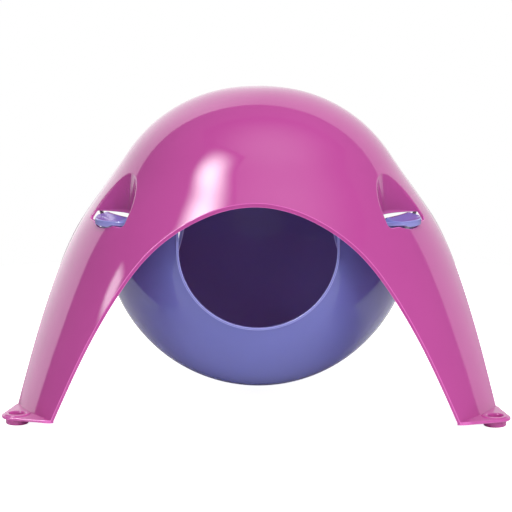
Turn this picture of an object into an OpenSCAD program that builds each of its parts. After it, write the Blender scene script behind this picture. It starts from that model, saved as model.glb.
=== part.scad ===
// Round hanging house for a small rodent: a domed hood that runs out into
// three legs, and a deep round bowl that hangs inside it by three tongues.
// Origin: on the vertical axis, level with the undersides of the feet.
// +Z is up, and the front entrance faces -Y.

/* [Overall] */
// Outside radius of the bowl; the whole house scales with it
bowl_r = 100; // [60:1:120]
// Wall thickness of both mouldings
wall = 1.6; // [1.3:0.1:2]

/* [Hood] */
// Radius of the domed top, as a share of the bowl radius
dome_share = 1.047; // [1.04:0.001:1.055]
// Lean of the arch faces from the vertical, in degrees
arch_lean = 1.6; // [0.5:0.1:2.5]
// Distance of the arch faces from the axis at the bowl's equator, as a share
arch_share = 0.992; // [0.98:0.002:1.01]

/* [Feet] */
// Radius of the screw or hook hole in each foot, in mm
eye_hole_r = 4.7; // [3.5:0.1:5.5]
// Radius of the circle through the three foot holes, as a share
eye_circle_share = 1.704; // [1.70:0.002:1.73]
// Thickness of the foot plate, in mm
plate_t = 2; // [1.6:0.1:3]
// Height of the boss under each foot plate, in mm
boss_h = 3.9; // [3:0.1:4.5]

/* [Bowl] */
// Radius of the three round entrances, as a share of the bowl radius
entrance_share = 0.483; // [0.44:0.001:0.49]
// Distance of the entrance rims from the axis, as a share
rim_share = 0.893; // [0.89:0.001:0.91]
// Gap above the tongues in their slots, in mm
tongue_gap = 1.8; // [1.7:0.1:2.4]
// Turn of the bowl within the side play of its slots, in degrees
bowl_turn = 1; // [-1.5:0.5:1.5]

/* [Hidden] */
$fn = 120;
u = bowl_r / 100;              // scale of every outline length
// heights
bowl_z = 107.7 * u;            // bowl centre and equator
entrance_z = 109.7 * u;        // centre of the entrances' round lower half
dome_r = 100 * dome_share * u;
dome_z = 201.9 * u - dome_r;   // centre of the domed top
plate_z = boss_h;              // underside of the foot plate
tongue_top = 123.8 * u;
tongue_t = 1.7;
flange_h = 2.6;                // height of the down-turned edge round the tongue
pocket_z = tongue_top + tongue_gap; // lower edge of the pocket's back wall
slot_low = 118.4 * u;          // lowest point of the dip in the slot's lower edge
dip_half = 14 * u;             // half width of that dip
lip_z = 119.8 * u;             // lower end of the tongue's lip
slot_side = tongue_top - flange_h - 0.3; // height of the shoulders that carry the tongue
// plan positions
arch_d = 100 * arch_share * u;
eye_c = 100 * eye_circle_share * u;
eye_r = 9.75 * u;
boss_r = 7.1 * u;
entrance_r = 100 * entrance_share * u;
rim_d = 100 * rim_share * u;
pocket_c = 119.5 * u;          // centre of the pocket's round back
pocket_r0 = 27 * u;            // its radius at the lower edge
pocket_r1 = 29.3 * u;          // its radius at the tip
pocket_top = 151 * u;
tongue_c = 95 * u;             // centre of the tongue's round end
tongue_r = 19.5 * u;
tongue_half = 19 * u;
legs = [90, 210, 330];
arches = [30, 150, 270];

// smooth curve through a list of points
function knot(p, i) = p[max(0, min(len(p) - 1, i))];
function between(a, b, c, d, t) =
    0.5 * (2 * b + (c - a) * t + (2 * a - 5 * b + 4 * c - d) * t * t
           + (3 * b - a - 3 * c + d) * t * t * t);
function smooth(p, n) = [for (i = [1 : len(p) - 3]) for (j = [0 : n - 1])
    between(knot(p, i - 1), knot(p, i), knot(p, i + 1), knot(p, i + 2), j / n)];

// outline of the hood: domed top, then the flare that becomes the legs
function dome_at(z) = sqrt(dome_r * dome_r - (z - dome_z) * (z - dome_z));
dome_end = acos((160 * u - dome_z) / dome_r);
dome_pts = [for (i = [0 : 16]) let (a = dome_end * i / 17)
    [dome_r * sin(a), dome_z + dome_r * cos(a)]];
flare_knots = concat([[dome_at(168 * u), 168 * u], [dome_at(160 * u), 160 * u]],
    u * [[90, 150.6], [98.1, 139.8], [103, 132.6], [107.8, 126], [116, 113.8], [123, 101],
    [130, 86], [139, 65], [147.9, 42.5], [163, 1], [169.5, -18]]);
flare_pts = concat(smooth(flare_knots, 3), [flare_knots[11]]);
hood_out = concat(dome_pts, flare_pts);
function step(p, i) = knot(p, i + 1) - knot(p, i - 1);
function inset(p, t) = [for (i = [0 : len(p) - 1])
    let (d = step(p, i), n = [d[1], -d[0]] / norm(d))
    [max(0, p[i][0] + t * n[0]), p[i][1] + t * n[1]]];
hood_in = inset(hood_out, wall);
hood_mid = inset(hood_out, wall / 2);

// outline of the bowl: half a sphere, then a rim that leans out a little
function bowl_line(t) = concat([for (i = [0 : 30]) let (a = 88 * i / 30)
    [(bowl_r - t) * sin(a), bowl_z - (bowl_r - t) * cos(a)]],
    [[100.4 * u - t, 112 * u], [101.4 * u - t, 117.5 * u], [103 * u - t, tongue_top]]);
bowl_out = bowl_line(0);
bowl_in = bowl_line(wall);
bowl_mid = bowl_line(wall / 2);

module ring_of(pts_a, pts_b) {
    rotate_extrude() polygon(concat(pts_a, [for (i = [len(pts_b) - 1 : -1 : 0]) pts_b[i]]));
}
// the space inside the middle of the hood's wall
module hood_core() {
    rotate_extrude() polygon(concat(hood_mid, [[0, hood_mid[len(hood_mid) - 1][1]]]));
}
// everything beyond the leaning face of an arch
module beyond_arch() {
    translate([arch_d, 0, bowl_z]) rotate([0, -arch_lean, 0])
        translate([0, -300 * u, -200 * u]) cube([300 * u, 600 * u, 400 * u]);
}
// round-backed upright pocket above each slot, grown by t
module pocket_tool(t, z0) {
    slope = (pocket_r1 - pocket_r0) / (pocket_top - pocket_z);
    z1 = pocket_top + 14 * u;
    translate([pocket_c, 0, z0])
        cylinder(h = z1 - z0, r1 = pocket_r0 + t + slope * (z0 - pocket_z),
                 r2 = pocket_r0 + t + slope * (z1 - pocket_z));
}
// pocket and slot as one cut: the slot's lower edge has shoulders and a round dip
module slot_cut() {
    rise = slot_side - slot_low;
    arc = (dip_half * dip_half + rise * rise) / (2 * rise);
    intersection() {
        pocket_tool(0, slot_low - 3 * u);
        union() {
            translate([80 * u, -40 * u, slot_side]) cube([80 * u, 80 * u, 60 * u]);
            intersection() {
                translate([80 * u, 0, slot_low + arc]) rotate([0, 90, 0])
                    cylinder(h = 80 * u, r = arc);
                translate([80 * u, -40 * u, slot_low - 3 * u]) cube([80 * u, 80 * u, 10 * u]);
            }
        }
    }
}
// solid that becomes the pocket's wall once the pocket is cut from it
module pocket_block() {
    intersection() {
        pocket_tool(wall, pocket_z);
        hood_core();
        translate([85 * u, -40 * u, pocket_z]) cube([60 * u, 80 * u, 60 * u]);
    }
}
// flat plate that closes the foot: its sides run from the leg's corners, tangent to the eye
module foot_plate() {
    cx = 159.4 * u;
    half = 27.1 * u;
    reach = norm([cx - eye_c, half]);
    turn = atan2(half, cx - eye_c) - acos(eye_r / reach);
    tip = [eye_c + eye_r * cos(turn), eye_r * sin(turn)];
    far = tip + 1.6 * ([cx, half] - tip);
    translate([0, 0, plate_z - 1]) {
        linear_extrude(plate_t + 1) difference() {
            polygon([[100 * u, -far[1]], [far[0], -far[1]], [tip[0], -tip[1]], tip, far,
                     [100 * u, far[1]]]);
            circle(r = 158.2 * u);
        }
        translate([eye_c, 0, 0]) cylinder(h = plate_t + 1, r = eye_r);
    }
}

// domed hood with three legs, a pocketed slot in each leg and an eye on each foot
module hood() {
    color([0.76, 0.33, 0.62]) {
        difference() {
            union() {
                difference() {
                    union() {
                        ring_of(hood_out, hood_in);
                        for (a = legs) rotate([0, 0, a]) {
                            pocket_block();
                            foot_plate();
                        }
                    }
                    for (a = legs) rotate([0, 0, a]) slot_cut();
                    for (a = arches) rotate([0, 0, a]) beyond_arch();
                    translate([-250 * u, -250 * u, plate_z - 100 * u])
                        cube([500 * u, 500 * u, 100 * u]);
                }
                for (a = legs) rotate([0, 0, a]) translate([eye_c, 0, 0])
                    cylinder(h = plate_z + plate_t / 2, r = boss_r);
            }
            for (a = legs) rotate([0, 0, a]) translate([eye_c, 0, -1])
                cylinder(h = plate_z + plate_t + 2, r = eye_hole_r);
        }
    }
}

// the space inside the middle of the bowl's wall, carried on above its rim
module bowl_core() {
    rotate_extrude() polygon(concat(bowl_mid, [[105 * u, 135 * u], [0, 135 * u]]));
}
// upright plan outline of an entrance: half round below, straight sides above
module entrance_tool(r, x0, x1) {
    translate([x0, 0, entrance_z]) rotate([0, 90, 0]) cylinder(h = x1 - x0, r = r);
    translate([x0, -r, entrance_z]) cube([x1 - x0, 2 * r, 60 * u]);
}
// tongue that passes out through a slot, with a down-turned edge that is deepest at the tip
module tongue() {
    intersection() {
        union() {
            translate([tongue_c, 0, tongue_top - flange_h]) difference() {
                cylinder(h = flange_h, r = tongue_r);
                translate([0, 0, -1]) cylinder(h = 1 + flange_h - tongue_t, r = tongue_r - wall);
                translate([-tongue_c, 0, -1]) cylinder(h = flange_h + 2, r = 102 * u);
            }
            translate([tongue_c, 0, lip_z]) difference() {
                cylinder(h = tongue_top - lip_z - 0.5, r = tongue_r);
                translate([0, 0, -1]) cylinder(h = 10 * u, r = tongue_r - wall);
                translate([-30 * u, -30 * u, -1]) cube([47.7 * u, 60 * u, 10 * u]);
            }
        }
        translate([90 * u, -tongue_half, 100 * u]) cube([40 * u, 2 * tongue_half, 40 * u]);
    }
}

// round bowl with three rimmed entrances and three tongues
module bowl() {
    color([0.42, 0.41, 0.71]) rotate([0, 0, bowl_turn]) {
        difference() {
            ring_of(bowl_out, bowl_in);
            for (a = arches) rotate([0, 0, a]) entrance_tool(entrance_r, 40 * u, 130 * u);
        }
        for (a = arches) rotate([0, 0, a]) intersection() {
            difference() {
                entrance_tool(entrance_r + wall, 70 * u, rim_d);
                entrance_tool(entrance_r, 60 * u, 130 * u);
            }
            difference() {
                translate([60 * u, -80 * u, bowl_z - 80 * u])
                    cube([60 * u, 160 * u, 80 * u + tongue_top - bowl_z]);
                bowl_core();
            }
        }
        for (a = legs) rotate([0, 0, a]) tongue();
    }
}

hood();
bowl();
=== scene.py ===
import math

import bmesh
import bpy
import numpy as np
from mathutils import Matrix, Vector
from mathutils.geometry import delaunay_2d_cdt
from mathutils.kdtree import KDTree


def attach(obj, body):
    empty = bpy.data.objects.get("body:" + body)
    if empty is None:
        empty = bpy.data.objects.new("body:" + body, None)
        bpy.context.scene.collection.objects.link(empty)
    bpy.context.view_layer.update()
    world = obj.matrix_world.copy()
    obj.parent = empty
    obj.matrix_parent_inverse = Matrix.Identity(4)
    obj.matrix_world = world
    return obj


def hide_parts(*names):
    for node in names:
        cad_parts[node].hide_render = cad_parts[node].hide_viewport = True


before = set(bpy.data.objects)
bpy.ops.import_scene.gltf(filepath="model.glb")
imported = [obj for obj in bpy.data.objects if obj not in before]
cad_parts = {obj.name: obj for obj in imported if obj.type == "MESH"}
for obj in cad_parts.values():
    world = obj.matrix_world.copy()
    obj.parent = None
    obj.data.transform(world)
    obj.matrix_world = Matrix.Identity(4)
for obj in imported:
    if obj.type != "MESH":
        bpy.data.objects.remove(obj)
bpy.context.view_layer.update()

# ---------------------------------------------------------------- dimensions, in mm
WALL = 1.6
DOME_R = 104.7
DOME_Z = 201.9 - DOME_R
BOWL_R = 100.0
BOWL_Z = 107.7
ENTRANCE_Z = 109.7
ENTRANCE_R = 48.3
RIM_D = 89.3
ARCH_D = 99.2
ARCH_LEAN = math.tan(math.radians(1.6))
PLATE_Z = 3.9
PLATE_T = 2.0
EYE_C, EYE_R, EYE_HOLE, BOSS_R = 170.4, 9.73, 4.7, 7.1
TONGUE_TOP, TONGUE_T, FLANGE_H, LIP_Z = 123.8, 1.7, 2.6, 119.8
SLOT_SIDE, SLOT_LOW, DIP_HALF = 120.9, 118.4, 14.0
POCKET_Z, POCKET_C = 125.6, 119.5
POCKET_R0, POCKET_R1, POCKET_TOP = 27.0, 29.3, 151.0
TONGUE_C, TONGUE_R = 91.0, 23.5
BOWL_TURN = 1.0
LEGS = [90.0, 210.0, 330.0]
ARCHES = [30.0, 150.0, 270.0]
COLLAR_R, COLLAR_H = 7.75, 0.7      # raised collar round each eye's hole
LEG_END = 4.7                      # the shells of the legs end inside the foot plates


def unit(v):
    v = np.asarray(v, float)
    return v / np.maximum(np.linalg.norm(v, axis=-1, keepdims=True), 1e-12)


def turned(p, degrees):
    """Points turned about the vertical axis."""
    a = math.radians(degrees)
    c, s = math.cos(a), math.sin(a)
    return np.asarray(p, float) @ np.array([[c, s, 0], [-s, c, 0], [0, 0, 1.0]])


def smoothstep(t):
    t = np.clip(t, 0, 1)
    return t * t * (3 - 2 * t)


# ---------------------------------------------------------------- surfaces of revolution
class Revolved:
    """A surface of revolution by arc length s from its pole. Its inner faces lie t below it along the normal."""

    def __init__(self, r, z, side):
        self.s = np.concatenate([[0], np.cumsum(np.hypot(np.diff(r), np.diff(z)))])
        self.r, self.z = np.asarray(r, float), np.asarray(z, float)
        tr, tz = np.gradient(self.r, self.s), np.gradient(self.z, self.s)
        k = np.hypot(tr, tz)
        tr, tz = tr / k, tz / k
        self.nr, self.nz = (-tz * side, tr * side)
        self.nr[0], self.nz[0] = 0.0, float(side)

    def at(self, s, t=0.0):
        """(radius, height) of the face t below the surface."""
        nr, nz = self.normal(s)
        return np.interp(s, self.s, self.r) - t * nr, np.interp(s, self.s, self.z) - t * nz

    def normal(self, s):
        nr, nz = np.interp(s, self.s, self.nr), np.interp(s, self.s, self.nz)
        k = np.hypot(nr, nz)
        return nr / k, nz / k

    def s_of_z(self, z, t=0.0):
        zt = self.z - t * self.nz
        if zt[-1] < zt[0]:
            return np.interp(-np.asarray(z, float), -zt, self.s)
        return np.interp(z, zt, self.s)

    def point(self, s, a, t=0.0):
        r, z = self.at(s, t)
        return np.stack([r * np.cos(a), r * np.sin(a), z + 0 * a], -1)

    def normal3(self, s, a):
        nr, nz = self.normal(s)
        return np.stack([nr * np.cos(a), nr * np.sin(a), nz + 0 * a], -1)

    def normal_at(self, p, t=0.0):
        p = np.asarray(p, float)
        return self.normal3(self.s_of_z(p[..., 2], t), np.arctan2(p[..., 1], p[..., 0]))

    def radius(self, z, t=0.0):
        return self.at(self.s_of_z(z, t), t)[0]

    def onto(self, p, t=0.0):
        """A point close to the face t below the surface, moved onto it at its own height."""
        p = np.asarray(p, float)
        a = np.arctan2(p[..., 1], p[..., 0])
        return self.point(self.s_of_z(p[..., 2], t), a, t)


def hood_profile():
    """Domed top, then the flare that becomes the legs, with its tangent angle evened out."""
    end = math.acos((160 - DOME_Z) / DOME_R)
    dome = []
    for i in range(60):
        a = end * i / 60
        # the dome's shoulders are a little fuller than a sphere
        full = DOME_R + float(np.interp(math.degrees(a), [0, 4, 8.6, 17, 28, 36, 44, 53.1], [-0.07, 0.12, 0.5, 1.05, 1.3, 1.3, 1.0, 0.4]))
        dome.append((full * math.sin(a), DOME_Z + full * math.cos(a)))

    def dome_at(z):
        return math.sqrt(DOME_R ** 2 - (z - DOME_Z) ** 2)

    knots = [(dome_at(168) + 0.5, 168.35), (dome_at(160) + 0.32, 160.24), (90, 150.6), (98.1, 139.8), (103, 132.6),
             (107.8, 126), (116, 113.8), (123, 101), (130, 86), (139, 65), (147.9, 42.5), (163, 1),
             (169.5, -18)]
    flare = []
    for i in range(1, len(knots) - 2):
        a, b, c, d = (np.array(knots[j], float) for j in (i - 1, i, i + 1, i + 2))
        for j in range(12):
            t = j / 12
            flare.append(tuple(0.5 * (2 * b + (c - a) * t + (2 * a - 5 * b + 4 * c - d) * t * t
                                      + (3 * b - a - 3 * c + d) * t ** 3)))
    flare.append(knots[11])
    p = np.array(dome + flare)
    s = np.concatenate([[0], np.cumsum(np.hypot(*np.diff(p, axis=0).T))])
    fine = np.linspace(0, s[-1], 1400)
    r, z = np.interp(fine, s, p[:, 0]), np.interp(fine, s, p[:, 1])
    step = fine[1] - fine[0]
    angle = np.unwrap(np.arctan2(np.diff(z), np.diff(r)))
    width = 7.5 / step
    k = np.arange(-int(3 * width), int(3 * width) + 1)
    w = np.exp(-0.5 * (k / width) ** 2)
    w /= w.sum()
    n = len(k) // 2
    padded = np.concatenate([2 * angle[0] - angle[n:0:-1], angle, 2 * angle[-1] - angle[-2:-n - 2:-1]])
    even = np.convolve(padded, w, "valid")
    r2 = np.concatenate([[0], np.cumsum(np.cos(even) * step)])
    z2 = np.concatenate([[z[0]], z[0] + np.cumsum(np.sin(even) * step)])
    # what drifts is given back smoothly along the flare
    q = smoothstep((fine - 90) / (fine[-1] - 90))
    r2 += q * (r[-1] - r2[-1])
    z2 += q * (z[-1] - z2[-1])
    return Revolved(r2, z2, 1)


def bowl_profile():
    a = np.radians(np.linspace(0, 88, 200))
    r = list(BOWL_R * np.sin(a))
    z = list(BOWL_Z - BOWL_R * np.cos(a))
    ctrl = np.array([(r[-1], z[-1]), (100.25, 110.2), (100.55, 113.2), (101.35, 117.5), (102.2, 120.8), (103.0, TONGUE_TOP)])
    t = np.linspace(0, 1, 80)
    k = len(ctrl) - 1
    curve = sum(math.comb(k, i) * ((1 - t) ** (k - i) * t ** i)[:, None] * ctrl[i] for i in range(k + 1))
    return Revolved(np.array(r + list(curve[1:, 0])), np.array(z + list(curve[1:, 1])), -1)


HOOD = hood_profile()
BOWL = bowl_profile()


# ---------------------------------------------------------------- edges and shells
def slerp(a, b, k):
    """Unit vectors from a to b; a and b are (n, 3), and the result is (n, len(k), 3)."""
    a, b = unit(a), unit(b)
    dot = np.clip((a * b).sum(-1), -1, 1)
    w = np.arccos(dot)[:, None]
    k = np.asarray(k, float)[None, :]
    sw = np.maximum(np.sin(w), 1e-6)
    fa = np.where(w < 1e-4, 1 - k, np.sin((1 - k) * w) / sw)
    fb = np.where(w < 1e-4, k, np.sin(k * w) / sw)
    return unit(fa[..., None] * a[:, None, :] + fb[..., None] * b[:, None, :])


def rounded(p, na, nb, radius, n, reach=9.0):
    """Rolling-ball rounding of the edge p between faces with outward normals na and nb: rows of places and normals from face a to face b. reach caps how far it goes into each face."""
    p, na, nb = np.asarray(p, float), unit(na), unit(nb)
    dot = (na * nb).sum(-1, keepdims=True)
    half = np.arccos(np.clip(dot, -0.9999, 0.9999)) / 2
    radius = np.broadcast_to(np.asarray(radius, float).reshape(-1, 1), (len(p), 1))
    radius = np.minimum(radius, reach / np.tan(half))
    run = radius * np.tan(half)
    pa = p - run * unit(nb - dot * na)
    centre = pa - radius * na
    k = np.linspace(0, 1, n + 1)
    normals = slerp(na, nb, k)
    return centre[:, None, :] + radius[:, None, :] * normals, normals


def hollowed(p, na, nb, radius, n):
    """The same for an inside corner."""
    p, na, nb = np.asarray(p, float), unit(na), unit(nb)
    dot = (na * nb).sum(-1, keepdims=True)
    half = np.arccos(np.clip(dot, -0.9999, 0.9999)) / 2
    run = radius * np.tan(half)
    pa = p + run * unit(nb - dot * na)
    centre = pa + radius * na
    normals = slerp(na, nb, np.linspace(0, 1, n + 1))
    return centre[:, None, :] - radius * normals, normals


def between(pa, pb, n, na=None, nb=None):
    """n - 1 rows strictly between two rows of places."""
    k = np.linspace(0, 1, n + 1)[1:-1]
    p = pa[:, None, :] * (1 - k)[None, :, None] + pb[:, None, :] * k[None, :, None]
    if na is None:
        return p
    return p, unit(na[:, None, :] * (1 - k)[None, :, None] + nb[:, None, :] * k[None, :, None])


class Shell:
    """Collects places, normals and faces of one closed mesh."""

    def __init__(self):
        self.p, self.n, self.f, self.calm = [], [], [], []

    def add(self, p, n):
        start = len(self.p)
        self.p.extend(np.asarray(p, float).reshape(-1, 3).tolist())
        self.n.extend(np.asarray(n, float).reshape(-1, 3).tolist())
        return np.arange(start, len(self.p))

    def strip(self, p, n, closed=True):
        """Rows of a band: p is (stations, rows, 3). Returns the ids of its first and last rows."""
        m, rows = p.shape[:2]
        ids = self.add(p, n).reshape(m, rows)
        last = m if closed else m - 1
        for i in range(last):
            j = (i + 1) % m
            for k in range(rows - 1):
                self.f.append((ids[i, k], ids[j, k], ids[j, k + 1], ids[i, k + 1]))
        return ids[:, 0], ids[:, -1]

    def fill(self, loops, flat, inner_p, inner_n, inner_flat):
        """Triangles between closed loops of ids. flat maps an array of places to 2D."""
        ids = np.concatenate(loops)
        self.calm += [int(i) for i in ids]
        two = flat(np.array([self.p[i] for i in ids]))
        edges, start = [], 0
        for loop in loops:
            edges += [(start + i, start + (i + 1) % len(loop)) for i in range(len(loop))]
            start += len(loop)
        new = self.add(inner_p, inner_n) if len(inner_p) else np.array([], int)
        every = np.concatenate([ids, new]).astype(int)
        points = [Vector(q) for q in two] + [Vector(q) for q in inner_flat]
        verts, _, faces, orig, _, _ = delaunay_2d_cdt(points, edges, [], 0, 1e-6, True)
        lost = [i for i, o in enumerate(orig) if not o]
        if lost:
            raise RuntimeError(f"{len(lost)} crossings between the boundary loops, near {[tuple(verts[i]) for i in lost[:3]]}")
        at = np.array([tuple(v) for v in verts])
        tris = np.array([tuple(f) for f in faces])
        first = np.array([o[0] for o in orig])
        named = first[tris]
        # triangles joined across edges that aren't on a loop make regions; each region is in or out as its largest triangle is
        walls = {(min(a, b), max(a, b)) for a, b in edges}
        sides = {}
        for i, f in enumerate(named.tolist()):
            for a, b in ((f[0], f[1]), (f[1], f[2]), (f[2], f[0])):
                e = (min(a, b), max(a, b))
                if e not in walls:
                    sides.setdefault(e, []).append(i)
        root = list(range(len(named)))

        def find(i):
            while root[i] != i:
                root[i] = root[root[i]]
                i = root[i]
            return i

        for pair in sides.values():
            if len(pair) == 2:
                a, b = find(pair[0]), find(pair[1])
                if a != b:
                    root[max(a, b)] = min(a, b)
        region = np.array([find(i) for i in range(len(named))])
        c = at[tris]
        size = np.abs((c[:, 1, 0] - c[:, 0, 0]) * (c[:, 2, 1] - c[:, 0, 1]) - (c[:, 2, 0] - c[:, 0, 0]) * (c[:, 1, 1] - c[:, 0, 1]))
        ends = np.cumsum([0] + [len(l) for l in loops])
        for r in np.unique(region):
            mine = np.nonzero(region == r)[0]
            best = mine[np.argmax(size[mine])]
            middle = c[best].mean(0)[None]
            if sum(int(inside(middle, two[a:b])[0]) for a, b in zip(ends[:-1], ends[1:])) % 2 == 0:
                continue
            for f in named[mine]:
                a = [int(every[v]) for v in f]
                if len(set(a)) == 3:
                    self.f.append(tuple(a))

    def cap(self, loop, centre, normal):
        c = self.add([centre], [normal])[0]
        for i in range(len(loop)):
            self.f.append((loop[i], loop[(i + 1) % len(loop)], c))


def make_object(name, shells, degrees=0.0):
    """One object from closed shells, in metres, with its smooth normals as given."""
    p, n, f, calm = [], [], [], []
    for sh in shells:
        base = len(p)
        calm += [i + base for i in sh.calm]
        p += sh.p
        n += sh.n
        f += [tuple(int(i) + base for i in q) for q in sh.f]
    p = turned(np.array(p), degrees) * 0.001
    n = turned(unit(np.array(n)), degrees)
    bm = bmesh.new()
    verts = [bm.verts.new(q) for q in p]
    for q in f:
        try:
            bm.faces.new([verts[i] for i in q])
        except ValueError:
            pass
    bmesh.ops.recalc_face_normals(bm, faces=bm.faces)
    bm.verts.index_update()
    # every shell faces outward, by the given normals
    vote = sum(face.normal.dot(Vector(n[face.verts[0].index])) * face.calc_area() for face in bm.faces)
    if vote < 0:
        bmesh.ops.reverse_faces(bm, faces=bm.faces)
    for face in bm.faces:
        face.smooth = True
    open_edges = sum(1 for e in bm.edges if len(e.link_faces) != 2)
    against = sum(1 for face in bm.faces if sum(face.normal.dot(Vector(n[v.index])) for v in face.verts) < 0)
    mesh = bpy.data.meshes.new(name)
    bm.to_mesh(mesh)
    bm.free()
    # painted highlight: how tightly the surface bends outward, per millimetre, kept as the edge attribute, by which the
    # material paints rounded edges lighter
    pairs = np.empty(len(mesh.edges) * 2, int)
    mesh.edges.foreach_get("vertices", pairs)
    i, j = pairs[0::2], pairs[1::2]
    step, bend = (p[j] - p[i]) * 1000, n[j] - n[i]
    kappa = (step * bend).sum(-1) / np.maximum((step ** 2).sum(-1), 1e-4)
    most = np.zeros(len(p))
    np.maximum.at(most, i, kappa)
    np.maximum.at(most, j, kappa)
    # the loops where filled faces meet their bands get no painted highlight
    most[calm] = 0
    layer = mesh.attributes.new("edge", "FLOAT", "POINT")
    layer.data.foreach_set("value", smoothstep((most - 0.7) / 1.2).astype(np.float32))
    mesh.normals_split_custom_set_from_vertices([tuple(q) for q in n])
    obj = bpy.data.objects.new(name, mesh)
    bpy.context.scene.collection.objects.link(obj)
    print(f"MESH {name}: {len(mesh.vertices)} vertices, {len(mesh.polygons)} faces, {open_edges} open edges, {against} faces against their normals")
    return obj


def even_points(surface, t, spacing, s_end, keep, boundary):
    """Evenly spread points on a face of a surface of revolution, kept clear of the boundary."""
    tree = KDTree(len(boundary))
    for i, q in enumerate(boundary):
        tree.insert(q, i)
    tree.balance()
    places, normals = [], []
    rings = np.arange(0, s_end, spacing * 0.87)
    for k, s in enumerate(rings):
        r, z = surface.at(s, t)
        count = max(1, int(round(2 * math.pi * max(r, 0) / spacing / 3)) * 3)
        if r < 0.3:
            count = 1
        a = (np.arange(count) + 0.5 * (k % 2)) * 2 * math.pi / count
        p = surface.point(np.full(count, s), a, t)
        nn = surface.normal3(np.full(count, s), a)
        ok = keep(p)
        for q, m in zip(p[ok], nn[ok]):
            if tree.find(q)[2] > spacing * 0.62:
                places.append(q)
                normals.append(m if t == 0 else -m)
    return np.array(places), np.array(normals)


# ---------------------------------------------------------------- hood
def arch_curve(t, count):
    """Where an arch plane cuts the face t below the hood, in the arch's frame (arch along +X): half of it, from the crown to the leg's end."""
    s = np.linspace(60, HOOD.s[-1], 6000)
    r, z = HOOD.at(s, t)
    x = ARCH_D - (z - BOWL_Z) * ARCH_LEAN
    inside = r > x
    i = int(np.argmax(inside))
    a, b = s[i - 1], s[i]
    for _ in range(50):
        m = (a + b) / 2
        r, z = HOOD.at(m, t)
        if r > ARCH_D - (z - BOWL_Z) * ARCH_LEAN:
            b = m
        else:
            a = m
    s0, s1 = b, float(HOOD.s_of_z(LEG_END, t))
    w = np.linspace(0, 1, 3000)
    s = s0 + (s1 - s0) * w ** 2
    r, z = HOOD.at(s, t)
    x = ARCH_D - (z - BOWL_Z) * ARCH_LEAN
    y = np.sqrt(np.maximum(r * r - x * x, 0))
    y[0] = 0
    p = np.stack([x, y, z], -1)
    length = np.concatenate([[0], np.cumsum(np.linalg.norm(np.diff(p, axis=0), axis=1))])
    want = np.linspace(0, length[-1], count)
    return np.stack([np.interp(want, length, p[:, k]) for k in range(3)], -1)


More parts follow.
